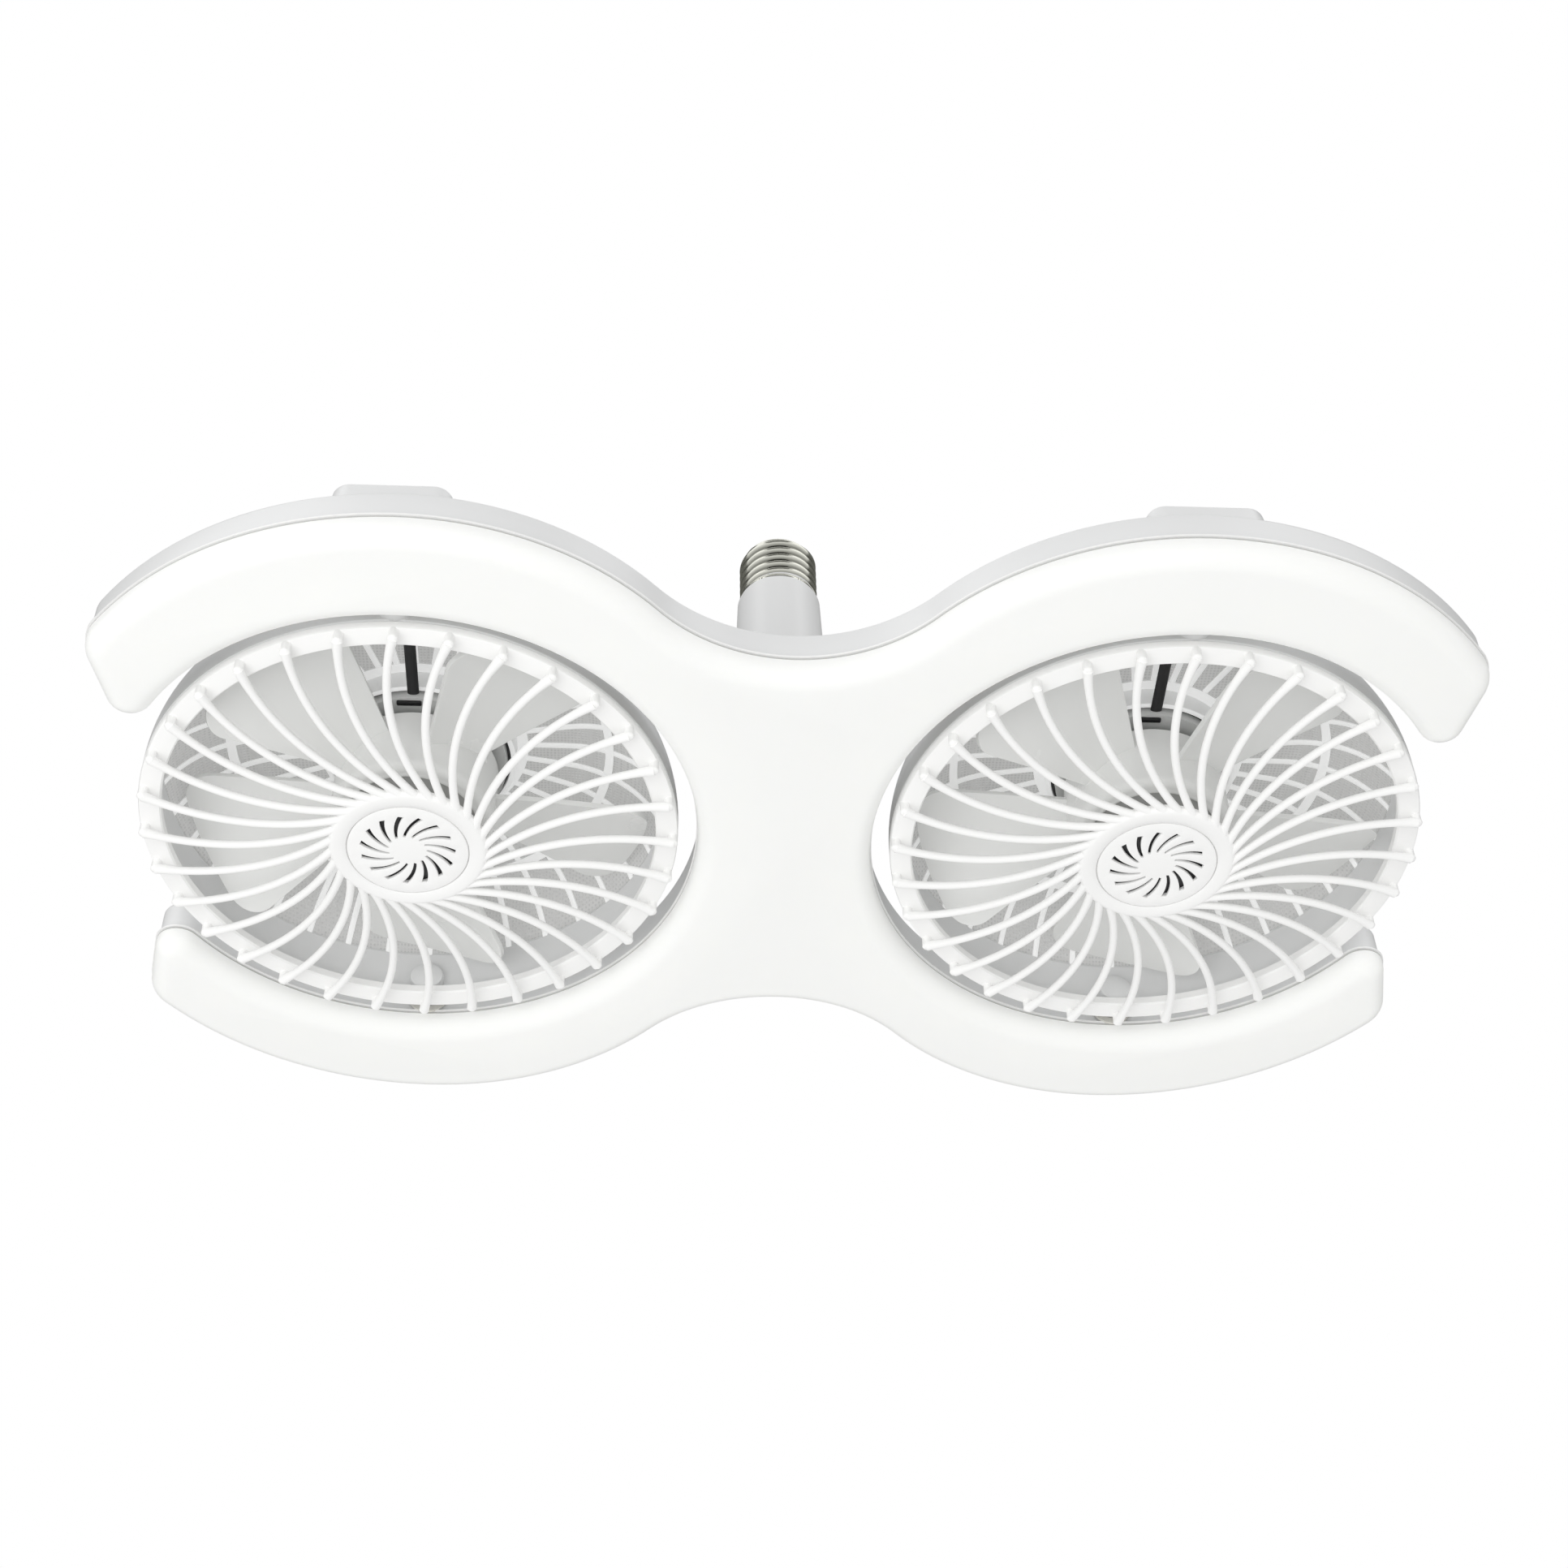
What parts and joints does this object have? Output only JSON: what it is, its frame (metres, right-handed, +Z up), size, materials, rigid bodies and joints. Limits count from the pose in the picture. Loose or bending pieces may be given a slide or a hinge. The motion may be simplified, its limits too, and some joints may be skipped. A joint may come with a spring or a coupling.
{
  "type": "twin head ceiling fan",
  "caption": "Bow-tie shaped socket lamp body with an opal diffuser and tilting round fan heads behind swirl-rib grilles, held up by a screw cap on a tall neck.",
  "frame": {"origin": "on the screw cap's axis, at the cap's lower edge where the neck's shoulder meets the lampholder", "axes": "+Z up along the cap, +X along the long body from the left head to the right head, -Y towards the near side of the picture"},
  "size_m": [0.4032, 0.239, 0.146],
  "materials": {
    "white_shell": "smooth white moulded plastic, soft gloss",
    "white_grille": "white moulded plastic, satin",
    "opal_diffuser": "opal light diffuser, even satin",
    "smoke_rotor": "pale grey milky plastic",
    "grey_motor": "pale grey moulded plastic",
    "board_white": "white lacquered light board",
    "led_emitter": "light source with phosphor face",
    "board_green": "green circuit board",
    "black_parts": "dark component bodies",
    "steel_screw": "zinc plated screws",
    "pivot_steel": "turned steel",
    "bush_nylon": "natural nylon",
    "nickel_cap": "nickel plated rolled shell",
    "black_insulator": "black glass-like insulator",
    "contact_metal": "soldered centre contact",
    "stator_copper": "copper windings on laminations",
    "magnet_dark": "dark ferrite magnet",
    "black_lead": "black sleeved lead"
  },
  "bodies": {
    "lamp_body": {"housing": "white_shell", "diffuser": "opal_diffuser", "led_board_left": "board_white", "led_board_right": "board_white", "leds_left": "led_emitter", "leds_right": "led_emitter", "board_screws": "steel_screw", "neck": "white_shell", "neck_screws": "steel_screw", "driver_board": "board_green", "driver_parts": "black_parts", "cap_shell": "nickel_cap", "cap_insulator": "black_insulator", "cap_contact": "contact_metal", "pivot_cover_near_left": "white_shell", "pivot_cover_near_right": "white_shell", "pivot_cover_far_left": "white_shell", "pivot_cover_far_right": "white_shell", "pivot_bushes": "bush_nylon"},
    "left_head": {"grille_left": "white_grille", "badge_plate_left": "white_grille", "rear_shell_left": "white_grille", "trunnions_left": "pivot_steel", "friction_washers_left": "pivot_steel", "trunnion_nuts_left": "pivot_steel", "motor_base_left": "grey_motor", "motor_board_left": "board_green", "stator_left": "stator_copper", "motor_bearings_left": "pivot_steel", "motor_lead_left": "black_lead", "rear_screws_left": "steel_screw"},
    "right_head": {"grille_right": "white_grille", "badge_plate_right": "white_grille", "rear_shell_right": "white_grille", "trunnions_right": "pivot_steel", "friction_washers_right": "pivot_steel", "trunnion_nuts_right": "pivot_steel", "motor_base_right": "grey_motor", "motor_board_right": "board_green", "stator_right": "stator_copper", "motor_bearings_right": "pivot_steel", "motor_lead_right": "black_lead", "rear_screws_right": "steel_screw"},
    "left_rotor": {"rotor_left": "smoke_rotor", "motor_can_left": "pivot_steel", "magnet_ring_left": "magnet_dark", "motor_shaft_left": "pivot_steel"},
    "right_rotor": {"rotor_right": "smoke_rotor", "motor_can_right": "pivot_steel", "magnet_ring_right": "magnet_dark", "motor_shaft_right": "pivot_steel"}
  },
  "joints": [
    {"name": "left_tilt", "type": "hinge", "parent": "lamp_body", "child": "left_head", "pos_m": [-0.114, 0, -0.1018], "axis": [0, 1, 0], "range_deg": [-90, 90]},
    {"name": "left_spin", "type": "hinge", "parent": "left_head", "child": "left_rotor", "pos_m": [-0.114, 0, -0.1018], "axis": [0, 0, 1], "continuous": true},
    {"name": "right_tilt", "type": "hinge", "parent": "lamp_body", "child": "right_head", "pos_m": [0.114, 0, -0.1018], "axis": [0, 1, 0], "range_deg": [-90, 90]},
    {"name": "right_spin", "type": "hinge", "parent": "right_head", "child": "right_rotor", "pos_m": [0.114, 0, -0.1018], "axis": [0, 0, 1], "continuous": true}
  ]
}
